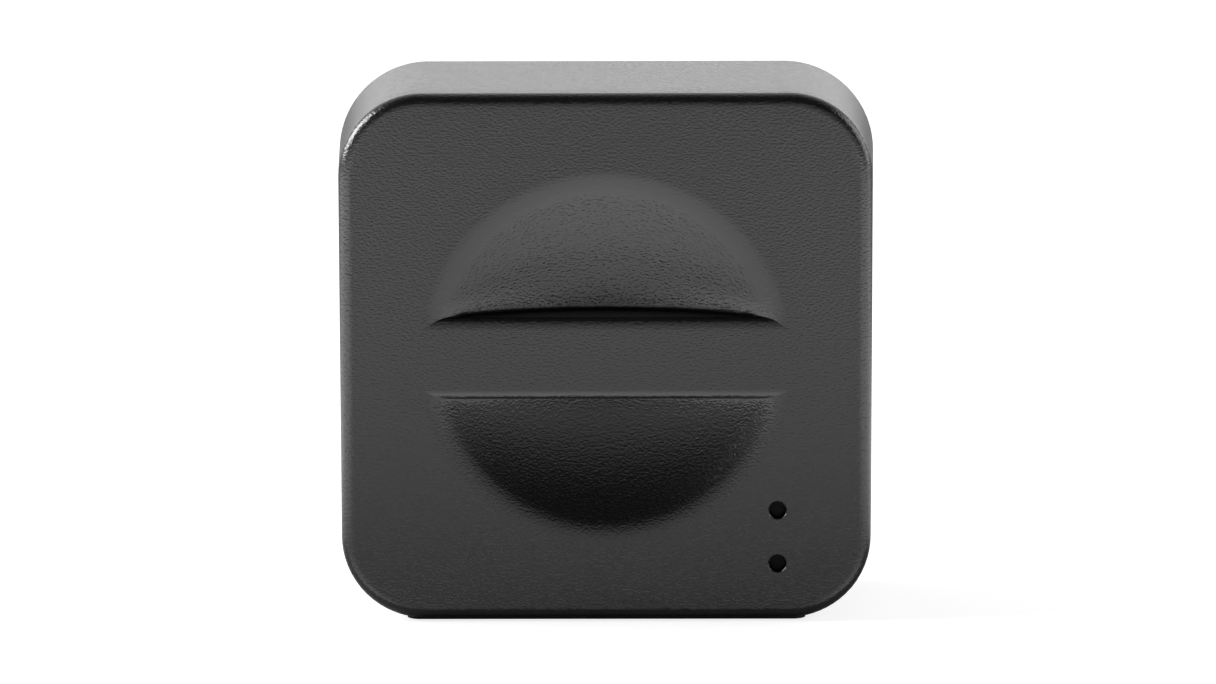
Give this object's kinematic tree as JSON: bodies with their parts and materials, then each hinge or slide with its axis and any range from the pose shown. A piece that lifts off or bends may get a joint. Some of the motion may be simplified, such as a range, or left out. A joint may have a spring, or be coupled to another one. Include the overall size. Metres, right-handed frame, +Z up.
{
  "type": "smart home gateway",
  "caption": "Upright rounded-square gateway box with a round bowl and bar relief on its front, indicator light holes, and rear network and power sockets with a reset button.",
  "frame": {"origin": "on the ground under the middle of the box, at the middle of the box's width and depth", "axes": "+X to the right seen from the front, +Y from the front face to the rear cover, +Z up"},
  "size_m": [0.083, 0.032, 0.0819],
  "materials": {
    "housing_plastic": "finely textured black moulding",
    "cover_plastic": "fine matt texture",
    "foot_rubber": "matt",
    "light_guide": "smoked clear moulding",
    "button_plastic": "satin",
    "board_laminate": "green solder mask",
    "black_plastic": "moulded connector plastic",
    "chip_plastic": "matt moulded package",
    "sheet_steel": "plated sheet",
    "screw_steel": "dark zinc plate",
    "gold_plate": "gold plated spring strip",
    "bare_aluminium": "anodised extrusion",
    "thermal_pad": "soft grey pad",
    "led_lens": "clear cast lens"
  },
  "bodies": {
    "housing": {"front_shell": "housing_plastic", "rear_cover": "cover_plastic", "foot_strip": "foot_rubber", "light_guide": "light_guide", "cover_screws": "screw_steel", "main_board": "board_laminate", "board_screws": "screw_steel", "status_leds": "led_lens", "ethernet_shield": "sheet_steel", "ethernet_housing": "black_plastic", "ethernet_contacts": "gold_plate", "usb_riser": "black_plastic", "usb_shell": "sheet_steel", "usb_tongue": "black_plastic", "usb_contacts": "gold_plate", "reset_switch_body": "black_plastic", "reset_switch_frame": "sheet_steel", "processor": "chip_plastic", "thermal_pad": "thermal_pad", "heat_sink": "bare_aluminium", "memory_chip": "chip_plastic", "network_transformer": "chip_plastic", "radio_board": "board_laminate", "radio_chip": "chip_plastic", "radio_can": "sheet_steel", "radio_antennas": "sheet_steel", "crystal": "sheet_steel", "capacitors": "bare_aluminium", "inductor": "chip_plastic", "chip_resistors": "chip_plastic", "header_strip": "black_plastic", "header_pins": "gold_plate"},
    "reset": {"reset_button": "button_plastic", "reset_plunger": "black_plastic"}
  },
  "joints": [
    {"name": "reset_press", "type": "slide", "parent": "housing", "child": "reset", "axis": [0, -1, 0], "range_m": [0, 0.0005], "stiffness_N_per_m": 2500, "springref_m": -0.00015}
  ]
}
